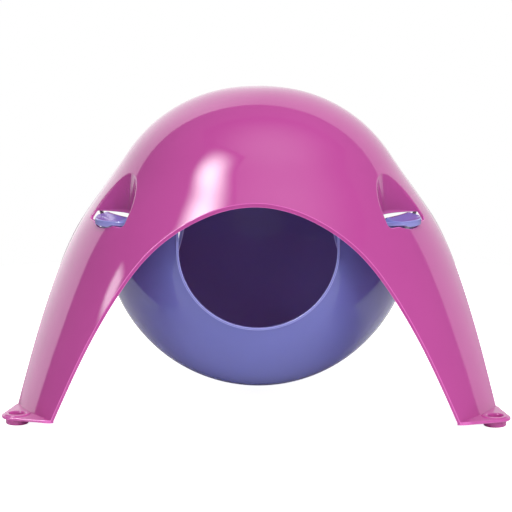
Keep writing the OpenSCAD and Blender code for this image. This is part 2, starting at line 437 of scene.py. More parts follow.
def hood_shell():
    sh = Shell()
    n_out, n_in = 4, 4
    # one arch, from its right leg's end over the crown to its left leg's end
    half_o, half_i = arch_curve(0.0, 100), arch_curve(WALL, 100)

    def whole(h):
        mirror = h[::-1] * np.array([1, -1, 1.0])
        return np.concatenate([mirror[:-1], h])

    po, pi_ = whole(half_o), whole(half_i)
    plane = unit(np.array([[1.0, 0, ARCH_LEAN]])).repeat(len(po), 0)
    no, ni = HOOD.normal_at(po), -HOOD.normal_at(pi_, WALL)
    a_p, a_n = rounded(po, no, plane, 0.55, n_out, reach=0.42)
    b_p, b_n = rounded(pi_, plane, ni, 0.35, n_in, reach=0.42)
    m_p, m_n = between(a_p[:, -1], b_p[:, 0], 6, plane, plane)
    arch_p, arch_n = np.concatenate([a_p, m_p[:, [0, 2, 4]], b_p], 1), np.concatenate([a_n, m_n[:, [0, 2, 4]], b_n], 1)
    arch_p[:, 0] = HOOD.onto(arch_p[:, 0])
    arch_p[:, -1] = HOOD.onto(arch_p[:, -1], WALL)
    rows_p, rows_n = [], []
    for a in ARCHES:
        rows_p.append(turned(arch_p, a))
        rows_n.append(turned(arch_n, a))
        # end of the leg that follows this arch, inside its foot plate
        s0, s1 = turned(po[-1:], a)[0], turned(po[:1], a + 120)[0]
        a0, a1 = math.atan2(s0[1], s0[0]), math.atan2(s1[1], s1[0])
        if a1 < a0:
            a1 += 2 * math.pi
        ang = np.linspace(a0, a1, 38)[1:-1]
        zo, zi = float(HOOD.s_of_z(LEG_END)), float(HOOD.s_of_z(LEG_END, WALL))
        lo, li = HOOD.point(np.full(len(ang), zo), ang), HOOD.point(np.full(len(ang), zi), ang, WALL)
        down = np.tile([0, 0, -1.0], (len(ang), 1))
        e_p, e_n = rounded(lo, HOOD.normal_at(lo), down, 0.2, n_out)
        g_p, g_n = rounded(li, down, -HOOD.normal_at(li, WALL), 0.2, n_in)
        h_p, h_n = between(e_p[:, -1], g_p[:, 0], 4, down, down)
        end_p, end_n = np.concatenate([e_p, h_p, g_p], 1), np.concatenate([e_n, h_n, g_n], 1)
        end_p[:, 0] = HOOD.onto(end_p[:, 0])
        end_p[:, -1] = HOOD.onto(end_p[:, -1], WALL)
        rows_p.append(end_p)
        rows_n.append(end_n)
    outer_loop, inner_loop = sh.strip(np.concatenate(rows_p), np.concatenate(rows_n))

    outer, inner = [outer_loop], [inner_loop]
    pocket_p, pocket_n = pocket_rows()
    for a in LEGS:
        o, i = sh.strip(turned(pocket_p, a), turned(pocket_n, a))
        outer.append(o)
        inner.append(i)

    def keep(t):
        def test(p):
            ok = p[:, 2] > LEG_END + 0.6
            for a in ARCHES:
                q = turned(p, -a)
                ok &= (q[:, 0] < ARCH_D - (q[:, 2] - BOWL_Z) * ARCH_LEAN - 0.8) | (q[:, 2] > 160)
            for a in LEGS:
                q = turned(p, -a)
                grow = 0.0 if t == 0 else WALL
                rad = POCKET_R0 + (q[:, 2] - POCKET_Z) * SLOPE + grow
                hit = (np.hypot(q[:, 0] - POCKET_C, q[:, 1]) < rad) & (q[:, 2] > slot_edge(q[:, 1])) & (q[:, 0] > 0)
                ok &= ~hit
            return ok
        return test

    def flat(t):
        def f(p):
            s, a = HOOD.s_of_z(p[:, 2], t), np.arctan2(p[:, 1], p[:, 0])
            return np.stack([s * np.cos(a), s * np.sin(a)], -1)
        return f

    for t, loops, spacing in ((0.0, outer, 2.2), (WALL, inner, 3.0)):
        edge = np.concatenate([np.array([sh.p[i] for i in l]) for l in loops])
        pts, nrm = even_points(HOOD, t, spacing, HOOD.s[-1], keep(t), edge)
        sh.fill(loops, flat(t), pts, nrm, flat(t)(pts))
    return sh


SLOPE = (POCKET_R1 - POCKET_R0) / (POCKET_TOP - POCKET_Z)
DIP_ARC = (DIP_HALF ** 2 + (SLOT_SIDE - SLOT_LOW) ** 2) / (2 * (SLOT_SIDE - SLOT_LOW))


CORNER_Y, CORNER_Z, CORNER_A = 21.6, 123.4, 2.4


def slot_edge(y):
    """Height of the slot's lower edge: a round dip between two shoulders, and rounded corners."""
    y = np.abs(y)
    low = SLOT_LOW + DIP_ARC - np.sqrt(np.maximum(DIP_ARC ** 2 - np.minimum(y, DIP_HALF) ** 2, 0))
    turn = np.sqrt(np.maximum(1 - (np.maximum(y - CORNER_Y, 0) / CORNER_A) ** 2, 0))
    return np.where(y < DIP_HALF, low, CORNER_Z - (CORNER_Z - SLOT_SIDE) * turn)


def pocket_rows():
    """The pocket over a slot, and the slot, as one closed band from the hood's outer face to its inner face, in the leg's frame (leg along +X)."""
    n_fold, n_wall, n_edge, n_back = 8, 10, 3, 4
    beta = math.atan(SLOPE)
    cb, sb = math.cos(beta), math.sin(beta)

    def cone_normal(phi):
        """Towards the pocket's axis."""
        return np.stack([cb * np.cos(phi), -cb * np.sin(phi), np.full_like(phi, sb)], -1)

    def cone(phi, z, grow=0.0):
        r = POCKET_R0 + (z - POCKET_Z) * SLOPE + grow
        return np.stack([POCKET_C - r * np.cos(phi), r * np.sin(phi), z + 0 * phi], -1)

    def centre(phi, rho):
        """Centre of the ball that touches the hood's outer face and the pocket's wall from inside the plastic, and where it touches the wall."""
        lo, hi = np.full_like(phi, 112.0), np.full_like(phi, 165.0)
        for _ in range(60):
            zf = (lo + hi) / 2
            c = cone(phi, zf) - rho[:, None] * cone_normal(phi)
            s = HOOD.s_of_z(c[:, 2])
            for _ in range(3):                # height on the face rho below
                nr, nz = HOOD.normal(s)
                s = HOOD.s_of_z(c[:, 2] + rho * nz)
            r_off = np.interp(s, HOOD.s, HOOD.r) - rho * HOOD.normal(s)[0]
            out = np.hypot(c[:, 0], c[:, 1]) > r_off
            hi, lo = np.where(out, zf, hi), np.where(out, lo, zf)
        zf = (lo + hi) / 2
        c = cone(phi, zf) - rho[:, None] * cone_normal(phi)
        nr, nz = HOOD.normal(s)
        a = np.arctan2(c[:, 1], c[:, 0])
        return c, zf, np.stack([nr * np.cos(a), nr * np.sin(a), nz], -1)

    # upper part: lam runs from -1 to 1 over the rim
    lam = np.sin(np.linspace(-math.pi / 2, math.pi / 2, 91))
    phi_rim, phi_low, phi_back = lam * math.radians(57.6), lam * math.radians(54.0), lam * math.radians(55.6)
    k = smoothstep((1 - np.abs(lam)) / 0.3)
    rho = 1.1 + (FOLD_R - 1.1) * k
    c, zf, n1 = centre(phi_rim, rho)
    n4 = cone_normal(phi_rim)
    arc = slerp(n1, n4, np.linspace(0, 1, n_fold + 1))
    fold = c[:, None, :] + rho[:, None, None] * arc
    e = 0.45
    low_n = cone_normal(phi_low)
    foot = cone(phi_low, np.full_like(lam, POCKET_Z + e))
    down = np.tile([0, 0, -1.0], (len(lam), 1))
    # the front face, between the fold and the lower edge
    q = np.linspace(0, 1, n_wall + 1)[1:-1]
    ph = phi_rim[:, None] * (1 - q) + phi_low[:, None] * q
    zz = zf[:, None] * (1 - q) + (POCKET_Z + e) * q
    r = POCKET_R0 + (zz - POCKET_Z) * SLOPE
    front = np.stack([POCKET_C - r * np.cos(ph), r * np.sin(ph), zz], -1)
    front_n = np.stack([cb * np.cos(ph), -cb * np.sin(ph), np.full_like(ph, sb)], -1)
    edge1, edge1_n = rounded(cone(phi_low, np.full_like(lam, POCKET_Z)), low_n, down, e, n_edge)
    back_n = -cone_normal(phi_back)
    edge2, edge2_n = rounded(cone(phi_back, np.full_like(lam, POCKET_Z), WALL), down, back_n, e, n_edge)
    rho_b = np.maximum(rho, WALL + 0.3)
    cb_, zb, n1b = centre(phi_back, rho_b)
    arc_b = slerp(-back_n, n1b, np.linspace(0, 1, n_back + 1))
    back = cb_[:, None, :] + (rho_b - WALL)[:, None, None] * arc_b
    up_p, up_n = between(edge2[:, -1], back[:, 0], n_wall, back_n, back_n)
    up_p = np.stack([cone(phi_back, up_p[:, j, 2], WALL / cb) for j in range(up_p.shape[1])], 1)
    upper = np.concatenate([fold, front, edge1, edge2, up_p, back], 1)
    upper_n = np.concatenate([arc, front_n, edge1_n, edge2_n, up_n, -arc_b], 1)

    # slot: from its side at +y down, along the lower edge, and up the side at -y
    rows_mid = front.shape[1] + edge1.shape[1] + edge2.shape[1] + up_p.shape[1]
    z_top = float(fold[-1, 0, 2])
    P, Q, N, R = [], [], [], []

    def on_cone(z, t):
        """y of the cone's crossing with the face t below the hood at height z, positive side."""
        r_h, r_c = float(HOOD.radius(z, t)), POCKET_R0 + (z - POCKET_Z) * SLOPE
        x = (r_h ** 2 - r_c ** 2 + POCKET_C ** 2) / (2 * POCKET_C)
        return x, math.sqrt(max(r_h ** 2 - x ** 2, 0))

    z_in = POCKET_Z - 0.12
    zs = min(z_top, POCKET_Z + 0.3) - 0.15
    for t in np.linspace(0, math.pi / 2 * 0.985, 20):
        for z0, face, into in ((zs, 0.0, P), (z_in, WALL, Q)):
            x0, y0 = on_cone(z0, face)
            # straight down the side, then round the corner
            z = z0 - (z0 - SLOT_SIDE) * math.sin(t)
            y = y0 if z > CORNER_Z else CORNER_Y + (on_cone(CORNER_Z, face)[1] - CORNER_Y) * math.sqrt(max(0, 1 - ((CORNER_Z - z) / (CORNER_Z - SLOT_SIDE)) ** 2))
            y = on_cone(z, face)[1] if z > CORNER_Z else y
            into.append((math.sqrt(float(HOOD.radius(z, face)) ** 2 - y * y), y, z))
        phi = math.asin(min(1, on_cone(zs, 0.0)[1] / (POCKET_R0 + (zs - POCKET_Z) * SLOPE)))
        a_cone = np.array([cb * math.cos(phi), -cb * math.sin(phi), sb])
        w = (CORNER_Z - P[-1][2]) / (CORNER_Z - SLOT_SIDE)
        a_turn = unit(np.array([0, -math.sqrt(max(0, 1 - w * w)) / 2.4, w / 2.5])) if w > 0 else a_cone
        w = float(smoothstep(w * 2.5))
        N.append(tuple(unit(a_cone * (1 - w) + a_turn * w)))
        R.append(1.1 - 0.5 * w)
    side_o = P[:]
    y_o, y_i = CORNER_Y, CORNER_Y
    ys = np.concatenate([np.linspace(0.99, DIP_HALF / y_o * 1.02, 5), np.linspace(DIP_HALF / y_o * 0.98, -DIP_HALF / y_o * 0.98, 41),
                         np.linspace(-DIP_HALF / y_o * 1.02, -0.99, 5)])
    for w in ys:
        yo = w * y_o
        yi = yo if abs(yo) < DIP_HALF else math.copysign(DIP_HALF + (abs(yo) - DIP_HALF) * (y_i - DIP_HALF) / (y_o - DIP_HALF), yo)
        zo, zi = float(slot_edge(yo)), float(slot_edge(yi))
        P.append((math.sqrt(float(HOOD.radius(zo)) ** 2 - yo ** 2), yo, zo))
        Q.append((math.sqrt(float(HOOD.radius(zi, WALL)) ** 2 - yi ** 2), yi, zi))
        g = 0.0 if abs(yo) >= DIP_HALF else yo / math.sqrt(DIP_ARC ** 2 - yo ** 2)
        soft = smoothstep((DIP_HALF - abs(yo)) / 1.2) if abs(yo) < DIP_HALF else 0.0
        g *= soft
        N.append((0, -g, 1.0))
        R.append(0.55)
    n_side = len(side_o)
    for j in range(n_side - 1, -1, -1):
        P.append((P[j][0], -P[j][1], P[j][2]))
        Q.append((Q[j][0], -Q[j][1], Q[j][2]))
        N.append((N[j][0], -N[j][1], N[j][2]))
        R.append(R[j])
    P, Q, N, R = np.array(P), np.array(Q), unit(np.array(N)), np.array(R)
    f_p, f_n = rounded(P, HOOD.normal_at(P), N, R, n_fold, reach=0.85)
    g_p, g_n = rounded(Q, N, -HOOD.normal_at(Q, WALL), 0.3, n_back, reach=0.3)
    mid_p, mid_n = between(f_p[:, -1], g_p[:, 0], rows_mid + 1, N, N)
    lower = np.concatenate([f_p, mid_p, g_p], 1)
    lower_n = np.concatenate([f_n, mid_n, g_n], 1)
    p = np.concatenate([upper, lower])
    n = np.concatenate([upper_n, lower_n])
    p[:, 0] = HOOD.onto(p[:, 0])
    p[:, -1] = HOOD.onto(p[:, -1], WALL)
    return p, n


FOLD_R = 3.0                       # rounding of the pocket's rim


def foot_shell():
    """Foot plate with its eye and boss, in the leg's frame."""
    sh = Shell()
    z0, z1 = PLATE_Z, PLATE_Z + PLATE_T
    # corner of the leg in plan: on the arch plane at 60 degrees, at the outer face of the leg
    corner_line = 99.2 - (PLATE_Z + PLATE_T / 2 - BOWL_Z) * ARCH_LEAN - 0.06
    cx, half = 159.4, 27.1
    reach = math.hypot(cx - EYE_C, half)
    turn = math.atan2(half, cx - EYE_C) - math.acos(EYE_R / reach)
    tip = np.array([EYE_C + EYE_R * math.cos(turn), EYE_R * math.sin(turn)])
    far = tip + 1.6 * (np.array([cx, half]) - tip)
    # arch plane in the leg's frame: x cos60 + y sin60 = corner_line
    c60, s60 = 0.5, math.sqrt(3) / 2
    d = far - tip
    k = (corner_line - (tip[0] * c60 + tip[1] * s60)) / (d[0] * c60 + d[1] * s60)
    corner = tip + k * d
    r_in = 159.5
    # inner arc meets the arch plane
    ang = math.radians(60) - math.acos(corner_line / r_in)
    inner_end = np.array([r_in * math.cos(ang), r_in * math.sin(ang)])
    pts, nrm = [], []

    def line(a, b, n, normal, ends=(0.0, 1.0)):
        for w in np.linspace(ends[0], ends[1], n):
            pts.append(a + (b - a) * w + normal * 0.03 * math.sin(math.pi * w))
            nrm.append(normal)

    side_n = np.array([c60, s60])
    tan_n = np.array([tip[0] - EYE_C, tip[1]]) / EYE_R
    # from the inner arc's end at +y out to the corner, along the tangent, round the eye, and back
    line(inner_end, corner, 5, side_n, (0.35, 0.75))
    line(corner, tip, 14, tan_n, (0.035, 0.985))
    for w in np.linspace(turn, -turn, 41):
        pts.append(np.array([EYE_C + EYE_R * math.cos(w), EYE_R * math.sin(w)]))
        nrm.append(np.array([math.cos(w), math.sin(w)]))
    n0 = 5 + 14
    for i in range(n0 - 1, -1, -1):
        pts.append(pts[i] * np.array([1, -1]))
        nrm.append(nrm[i] * np.array([1, -1]))
    for w in np.linspace(-ang * 0.965, ang * 0.965, 31):
        pts.append(np.array([r_in * math.cos(w), r_in * math.sin(w)]))
        nrm.append(np.array([-math.cos(w), -math.sin(w)]))
    pts, nrm = np.array(pts), unit(np.array(nrm))
    n3 = np.concatenate([nrm, np.zeros((len(nrm), 1))], 1)
    up, down = np.tile([0, 0, 1.0], (len(pts), 1)), np.tile([0, 0, -1.0], (len(pts), 1))
    top_e = np.concatenate([pts, np.full((len(pts), 1), z1)], 1)
    low_e = np.concatenate([pts, np.full((len(pts), 1), z0)], 1)
    soft = [0.2] * 5 + [0.45, 0.7, 0.9] + [0.95] * 11
    soft = np.array(soft + [0.95] * 41 + soft[::-1] + [0.2] * 31)
    a_p, a_n = rounded(top_e, up, n3, soft, 6)
    b_p, b_n = rounded(low_e, n3, down, soft * 0.84, 5)
    top_out, low_out = sh.strip(np.concatenate([a_p, b_p], 1), np.concatenate([a_n, b_n], 1))
    # boss and hole: a turned shape round the eye's axis, from the plate's underside to its top
    m = 56
    w = np.arange(m) * 2 * math.pi / m
    out = np.stack([np.cos(w), np.sin(w), 0 * w], -1)

    def ring(r, z):
        return np.stack([EYE_C + r * np.cos(w), r * np.sin(w), np.full(m, float(z))], -1)

    upm, downm = np.tile([0, 0, 1.0], (m, 1)), np.tile([0, 0, -1.0], (m, 1))
    slope_n = unit(out * 1.0 + downm * 0.25)
    b1, b1n = hollowed(ring(BOSS_R, z0), downm, out, 0.4, 3)
    b2, b2n = rounded(ring(BOSS_R, 0), out, downm, 1.0, 5)
    b3, b3n = rounded(ring(EYE_HOLE, 0), downm, -out, 0.3, 3)
    # the eye's collar stands a little above the plate
    b4, b4n = rounded(ring(EYE_HOLE, z1 + COLLAR_H), -out, upm, 1.3, 7)
    b5, b5n = rounded(ring(COLLAR_R, z1 + COLLAR_H), upm, unit(upm + 1.4 * out), 1.2, 5)
    b6, b6n = hollowed(ring(COLLAR_R + 0.5, z1), unit(upm + 1.4 * out), upm, 0.3, 3)
    low_in, top_in = sh.strip(np.concatenate([b1, b2, b3, b4, b5, b6], 1), np.concatenate([b1n, b2n, b3n, b4n, b5n, b6n], 1))

    def flat(p):
        return p[:, :2]

    for loops, z, nz in (([top_out, top_in], z1, 1.0), ([low_out, low_in], z0, -1.0)):
        xs, ys = np.meshgrid(np.arange(148, 182, 1.6), np.arange(-32, 33, 1.6))
        g = np.stack([xs.ravel(), ys.ravel(), np.full(xs.size, z)], -1)
        hole = COLLAR_R + 1.1 if nz > 0 else BOSS_R + 1.0
        edge = np.concatenate([np.array([sh.p[i] for i in l]) for l in loops])
        poly = np.array([sh.p[i] for i in loops[0]])[:, :2]
        ok = (np.hypot(g[:, 0] - EYE_C, g[:, 1]) > hole) & inside(g[:, :2], poly)
        near = np.sqrt(((g[:, None, :2] - edge[None, :, :2]) ** 2).sum(-1)).min(1)
        g = g[ok & (near > 0.8)]
        sh.fill(loops, flat, g, np.tile([0, 0, nz], (len(g), 1)), g[:, :2])
    return sh


def inside(p, poly):
    x, y = p[:, 0][:, None], p[:, 1][:, None]
    x1, y1 = poly[:, 0][None, :], poly[:, 1][None, :]
    x2, y2 = np.roll(poly[:, 0], -1)[None, :], np.roll(poly[:, 1], -1)[None, :]
    crosses = ((y1 > y) != (y2 > y)) & (x < (x2 - x1) * (y - y1) / np.where(y2 == y1, 1e-12, y2 - y1) + x1)
    return crosses.sum(1) % 2 == 1


def turn_shell(sh, degrees):
    new = Shell()
    new.p = turned(np.array(sh.p), degrees).tolist()
    new.n = turned(np.array(sh.n), degrees).tolist()
    new.f, new.calm = list(sh.f), list(sh.calm)
    return new


# ---------------------------------------------------------------- bowl
def bowl_shell():
    sh = Shell()
    top = TONGUE_TOP - 0.08            # just under the tongues' top faces
    r1, r0 = ENTRANCE_R, ENTRANCE_R + WALL

    def outline(r, count_side, count_arc):
        """Entrance outline in the arch's frame from the top at -y, down and round to the top at +y: y, z and the direction away from the opening."""
        z = np.linspace(top, ENTRANCE_Z, count_side + 1)[:-1]
        a = np.linspace(-math.pi / 2, math.pi / 2, count_arc)
        y = np.concatenate([np.full(len(z), -r), r * np.sin(a), np.full(len(z), r)])
        zz = np.concatenate([z, ENTRANCE_Z - r * np.cos(a), z[::-1]])
        m = np.concatenate([np.tile([0, -1.0, 0], (len(z), 1)), np.stack([0 * a, np.sin(a), -np.cos(a)], -1),
                            np.tile([0, 1.0, 0], (len(z), 1))])
        return y, zz, m

    yo, zo, m = outline(r0, 9, 121)
    yi, zi, _ = outline(r1, 9, 121)
    xo = np.sqrt(BOWL.radius(zo) ** 2 - yo ** 2)
    xi = np.sqrt(BOWL.radius(zi, WALL) ** 2 - yi ** 2)
    rim = np.maximum(RIM_D, xo + 0.75)
    kern = np.hanning(9) / np.hanning(9).sum()
    rim = np.convolve(np.pad(rim, 4, "edge"), kern, "valid")
    front = np.tile([1.0, 0, 0], (len(m), 1))
    Po, Pi = np.stack([xo, yo, zo], -1), np.stack([xi, yi, zi], -1)
    n_o, n_i = BOWL.normal_at(Po), -BOWL.normal_at(Pi, WALL)
    f1, f1n = hollowed(Po, n_o, m, 0.35, 3)
    f2, f2n = rounded(np.stack([rim, yo, zo], -1), m, front, 0.5, 4)
    f3, f3n = rounded(np.stack([rim, yi, zi], -1), front, -m, 0.5, 4)
    f4, f4n = rounded(Pi, -m, n_i, 0.4, 4, reach=0.5)
    g, gn = between(f3[:, -1], f4[:, 0], 4, -m, -m)
    w, wn = between(f2[:, -1], f3[:, 0], 3, front, front)
    ent_p = np.concatenate([f1, f2, w, f3, g, f4], 1)
    ent_n = np.concatenate([f1n, f2n, wn, f3n, gn, f4n], 1)
    ent_p[:, 0], ent_p[:, -1] = BOWL.onto(ent_p[:, 0]), BOWL.onto(ent_p[:, -1], WALL)
    # nothing stands above the rim's top
    ent_p[..., 2] = np.minimum(ent_p[..., 2], top)
    rows_p, rows_n = [], []
    rows = ent_p.shape[1]
    for a in ARCHES:
        rows_p.append(turned(ent_p, a))
        rows_n.append(turned(ent_n, a))
        end, start = turned(Po[-1:], a)[0], turned(Po[:1], a + 120)[0]
        a0, a1 = math.atan2(end[1], end[0]), math.atan2(start[1], start[0])
        if a1 < a0:
            a1 += 2 * math.pi
        ang = np.linspace(a0, a1, 44)[1:-1]
        ang = a0 + (ang - a0) * 1.0
        so, si = float(BOWL.s_of_z(top)), float(BOWL.s_of_z(top, WALL))
        lo, li = BOWL.point(np.full(len(ang), so), ang), BOWL.point(np.full(len(ang), si), ang, WALL)
        up = np.tile([0, 0, 1.0], (len(ang), 1))
        e, en = rounded(lo, BOWL.normal_at(lo), up, 0.4, 3)
        h, hn = rounded(li, up, -BOWL.normal_at(li, WALL), 0.4, 4)
        mid, midn = between(e[:, -1], h[:, 0], rows - 9 + 1, up, up)
        tp, tn = np.concatenate([e, mid, h], 1), np.concatenate([en, midn, hn], 1)
        tp[:, 0], tp[:, -1] = BOWL.onto(tp[:, 0]), BOWL.onto(tp[:, -1], WALL)
        rows_p.append(tp)
        rows_n.append(tn)
    o, i = sh.strip(np.concatenate(rows_p), np.concatenate(rows_n))

    def keep(t):
        def test(p):
            ok = p[:, 2] < top - 0.7
            r = r0 if t == 0 else r1
            for a in ARCHES:
                q = turned(p, -a)
                hit = (q[:, 0] > 0) & (((q[:, 2] >= ENTRANCE_Z) & (np.abs(q[:, 1]) < r + 0.3))
                                       | (np.hypot(q[:, 1], q[:, 2] - ENTRANCE_Z) < r + 0.3))
                ok &= ~hit
            return ok
        return test

    def flat(t):
        def f(p):
            s, a = BOWL.s_of_z(p[:, 2], t), np.arctan2(p[:, 1], p[:, 0])
            return np.stack([s * np.cos(a), s * np.sin(a)], -1)
        return f

    for t, loops in ((0.0, [o]), (WALL, [i])):
        edge = np.concatenate([np.array([sh.p[j] for j in l]) for l in loops])
        pts, nrm = even_points(BOWL, t, 2.4, BOWL.s[-1], keep(t), edge)
        sh.fill(loops, flat(t), pts, nrm, flat(t)(pts))
    return sh


def tongue_shell():
    """Tongue with its down-turned edge, in the leg's frame. Its inner end lies inside the bowl's wall."""
    sh = Shell()
    root_r = 101.75
    even = np.sin(np.linspace(-math.pi / 2, math.pi / 2, 111))[::-1]
    psi_o, psi_i = even * math.radians(66.0), even * math.radians(63.6)

    def way(psi):
        return np.stack([np.cos(psi), np.sin(psi), 0 * psi], -1)

    def at(r, z, psi):
        return np.stack([TONGUE_C + r * np.cos(psi), r * np.sin(psi), z + 0 * psi], -1)

    def low(psi):
        """Height of the lower edge: deeper at the tip."""
        drop = smoothstep((TONGUE_C + TONGUE_R * np.cos(psi) - 111.2) / 2.4)
        return (TONGUE_TOP - FLANGE_H) * (1 - drop) + LIP_Z * drop

    up, down = np.tile([0, 0, 1.0], (len(even), 1)), np.tile([0, 0, -1.0], (len(even), 1))
    a, an = rounded(at(TONGUE_R, TONGUE_TOP, psi_o), up, way(psi_o), 0.7, 5)
    b, bn = rounded(at(TONGUE_R, low(psi_o), psi_o), way(psi_o), down, 0.5, 3)
    c, cn = rounded(at(TONGUE_R - WALL, low(psi_i), psi_i), down, -way(psi_i), 0.4, 3)
    d, dn = hollowed(at(TONGUE_R - WALL, TONGUE_TOP - TONGUE_T, psi_i), -way(psi_i), down, 0.5, 3)
    p, n = np.concatenate([a, b, c, d], 1), np.concatenate([an, bn, cn, dn], 1)
    rows = p.shape[1]
    w = np.linspace(-1, 1, 25)
    y_t, y_l = w * (abs(p[0, 0, 1]) - 0.35), w * (abs(p[0, -1, 1]) - 0.35)
    top_e = np.stack([np.sqrt(root_r ** 2 - y_t ** 2), y_t, np.full(25, TONGUE_TOP)], -1)
    low_e = np.stack([np.sqrt(root_r ** 2 - y_l ** 2), y_l, np.full(25, TONGUE_TOP - TONGUE_T)], -1)
    radial = unit(top_e * np.array([-1, -1, 0.0]))
    k = np.linspace(0, 1, rows)
    end_p = top_e[:, None, :] * (1 - k)[None, :, None] + low_e[:, None, :] * k[None, :, None]
    end_n = np.repeat(radial[:, None, :], rows, 1)
    o, i = sh.strip(np.concatenate([p, end_p]), np.concatenate([n, end_n]))
    for loop, z, nz in ((o, TONGUE_TOP, 1.0), (i, TONGUE_TOP - TONGUE_T, -1.0)):
        poly = np.array([sh.p[j] for j in loop])[:, :2]
        xs, ys = np.meshgrid(np.arange(96, 115, 1.4), np.arange(-20, 20.5, 1.4))
        g = np.stack([xs.ravel(), ys.ravel(), np.full(xs.size, z)], -1)
        near = np.sqrt(((g[:, None, :2] - poly[None]) ** 2).sum(-1)).min(1)
        g = g[inside(g[:, :2], poly) & (near > 0.7)]
        sh.fill([loop], lambda q: q[:, :2], g, np.tile([0, 0, nz], (len(g), 1)), g[:, :2])
    # the top face rises towards the bowl's rim, except at the slot's ends
    p, n = np.array(sh.p), unit(np.array(sh.n))

    def rise(x, y):
        f = np.clip((111.0 - np.hypot(x, y)) / 8.6, 0, 1)
        side = np.where(y < 0, smoothstep((-y - 16.3) / 3.0), smoothstep((y - 15.4) / 3.4))
        up = 2.1 * f * (1 - 0.35 * (1 - f)) * (1 - side)
        # it keeps clear of the pocket's wall above it, also when the bowl is lifted
        t = math.radians(BOWL_TURN)
        near = np.hypot(x * math.cos(t) - y * math.sin(t) - POCKET_C, x * math.sin(t) + y * math.cos(t))
        return up - np.maximum(up - 0.2, 0) * smoothstep((near - 24.6) / 1.4)

    high = np.clip((p[:, 2] - (TONGUE_TOP - TONGUE_T)) / TONGUE_T, 0, 1)
    gx = (rise(p[:, 0] + 0.05, p[:, 1]) - rise(p[:, 0] - 0.05, p[:, 1])) / 0.1
    gy = (rise(p[:, 0], p[:, 1] + 0.05) - rise(p[:, 0], p[:, 1] - 0.05)) / 0.1
    tilt = high * np.maximum(n[:, 2], 0)
    n[:, 0] -= tilt * gx
    n[:, 1] -= tilt * gy
    p[:, 2] += high * rise(p[:, 0], p[:, 1])
    sh.p, sh.n = p.tolist(), unit(n).tolist()
    return sh


